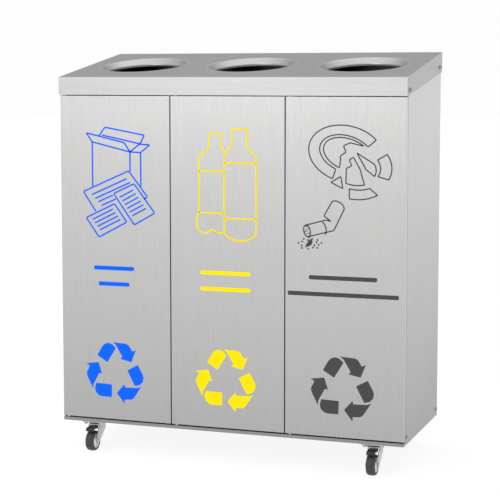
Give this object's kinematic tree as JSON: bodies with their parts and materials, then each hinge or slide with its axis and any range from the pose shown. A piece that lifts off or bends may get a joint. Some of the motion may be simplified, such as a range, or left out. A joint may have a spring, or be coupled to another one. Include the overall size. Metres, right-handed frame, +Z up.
{
  "type": "waste sorting station",
  "caption": "Mobile waste sorting station: folded steel cabinet on swivel casters, sloping lid with round chutes, hinged doors and loose inner bins.",
  "frame": {"origin": "on the floor, below the centre of the cabinet", "axes": "+X to the right as seen from the front, +Y to the back, +Z up; the doors face -Y"},
  "size_m": [0.8804, 0.398, 0.9887],
  "materials": {
    "case_steel": "fine brushed stainless sheet",
    "door_steel": "fine brushed stainless sheet, grain upright",
    "lid_steel": "fine brushed stainless sheet, grain across",
    "bin_coat": "black powder coat",
    "zinc_plated": "bright zinc plate",
    "fastener": "plain stainless",
    "tyre": "dark grey rubber",
    "wheel_core": "light grey moulding",
    "pedal": "black moulding",
    "bush": "natural nylon",
    "catch": "dark housing with magnet"
  },
  "bodies": {
    "cabinet": {"base_tray": "case_steel", "right_side_panel": "case_steel", "left_side_panel": "case_steel", "rear_panel": "case_steel", "left_divider": "case_steel", "right_divider": "case_steel", "header_rail": "case_steel", "lid": "lid_steel", "lid_screws": "fastener", "base_screws": "fastener", "rear_rivets": "fastener", "upper_pivots": "zinc_plated", "lower_pivots": "zinc_plated", "magnet_catches": "catch", "caster_bolts": "zinc_plated", "caster_nuts": "zinc_plated", "caster_kingpins": "zinc_plated", "caster_balls": "zinc_plated", "left_inner_bin": "bin_coat", "middle_inner_bin": "bin_coat", "right_inner_bin": "bin_coat", "left_chute_collar": "lid_steel", "middle_chute_collar": "lid_steel", "right_chute_collar": "lid_steel", "front_left_caster_plate": "zinc_plated", "front_right_caster_plate": "zinc_plated", "rear_left_caster_plate": "zinc_plated", "rear_right_caster_plate": "zinc_plated"},
    "left_door_leaf": {"left_door": "door_steel", "left_door_bushes": "bush", "left_door_stiffener": "case_steel", "left_door_strike": "fastener"},
    "middle_door_leaf": {"middle_door": "door_steel", "middle_door_bushes": "bush", "middle_door_stiffener": "case_steel", "middle_door_strike": "fastener"},
    "right_door_leaf": {"right_door": "door_steel", "right_door_bushes": "bush", "right_door_stiffener": "case_steel", "right_door_strike": "fastener"},
    "front_left_swivel": {"front_left_fork": "zinc_plated", "front_left_axle": "zinc_plated", "front_left_brake_pin": "zinc_plated"},
    "front_left_wheel": {"front_left_tyre": "tyre", "front_left_wheel_core": "wheel_core"},
    "front_left_brake": {"front_left_brake_pedal": "pedal"},
    "front_right_swivel": {"front_right_fork": "zinc_plated", "front_right_axle": "zinc_plated", "front_right_brake_pin": "zinc_plated"},
    "front_right_wheel": {"front_right_tyre": "tyre", "front_right_wheel_core": "wheel_core"},
    "front_right_brake": {"front_right_brake_pedal": "pedal"},
    "rear_left_swivel": {"rear_left_fork": "zinc_plated", "rear_left_axle": "zinc_plated"},
    "rear_left_wheel": {"rear_left_tyre": "tyre", "rear_left_wheel_core": "wheel_core"},
    "rear_right_swivel": {"rear_right_fork": "zinc_plated", "rear_right_axle": "zinc_plated"},
    "rear_right_wheel": {"rear_right_tyre": "tyre", "rear_right_wheel_core": "wheel_core"}
  },
  "joints": [
    {"name": "left_door_hinge", "type": "hinge", "parent": "cabinet", "child": "left_door_leaf", "pos_m": [-0.423, -0.176, 0.4835], "axis": [0, 0, -1], "range_deg": [0, 100]},
    {"name": "middle_door_hinge", "type": "hinge", "parent": "cabinet", "child": "middle_door_leaf", "pos_m": [-0.132, -0.176, 0.4835], "axis": [0, 0, -1], "range_deg": [0, 100]},
    {"name": "right_door_hinge", "type": "hinge", "parent": "cabinet", "child": "right_door_leaf", "pos_m": [0.158, -0.176, 0.4835], "axis": [0, 0, -1], "range_deg": [0, 100]},
    {"name": "front_left_swivel_turn", "type": "hinge", "parent": "cabinet", "child": "front_left_swivel", "pos_m": [-0.359, -0.149, 0.0715], "axis": [0, 0, 1], "continuous": true},
    {"name": "front_left_wheel_spin", "type": "hinge", "parent": "front_left_swivel", "child": "front_left_wheel", "pos_m": [-0.359, -0.174, 0.025], "axis": [1, 0, 0], "continuous": true},
    {"name": "front_left_brake_press", "type": "hinge", "parent": "front_left_swivel", "child": "front_left_brake", "pos_m": [-0.359, -0.161, 0.0572], "axis": [1, 0, 0], "range_deg": [0, 8]},
    {"name": "front_right_swivel_turn", "type": "hinge", "parent": "cabinet", "child": "front_right_swivel", "pos_m": [0.359, -0.149, 0.0715], "axis": [0, 0, 1], "continuous": true},
    {"name": "front_right_wheel_spin", "type": "hinge", "parent": "front_right_swivel", "child": "front_right_wheel", "pos_m": [0.359, -0.174, 0.025], "axis": [1, 0, 0], "continuous": true},
    {"name": "front_right_brake_press", "type": "hinge", "parent": "front_right_swivel", "child": "front_right_brake", "pos_m": [0.359, -0.161, 0.0572], "axis": [1, 0, 0], "range_deg": [0, 8]},
    {"name": "rear_left_swivel_turn", "type": "hinge", "parent": "cabinet", "child": "rear_left_swivel", "pos_m": [-0.359, 0.149, 0.0715], "axis": [0, 0, 1], "continuous": true},
    {"name": "rear_left_wheel_spin", "type": "hinge", "parent": "rear_left_swivel", "child": "rear_left_wheel", "pos_m": [-0.359, 0.174, 0.025], "axis": [1, 0, 0], "continuous": true},
    {"name": "rear_right_swivel_turn", "type": "hinge", "parent": "cabinet", "child": "rear_right_swivel", "pos_m": [0.359, 0.149, 0.0715], "axis": [0, 0, 1], "continuous": true},
    {"name": "rear_right_wheel_spin", "type": "hinge", "parent": "rear_right_swivel", "child": "rear_right_wheel", "pos_m": [0.359, 0.174, 0.025], "axis": [1, 0, 0], "continuous": true}
  ]
}
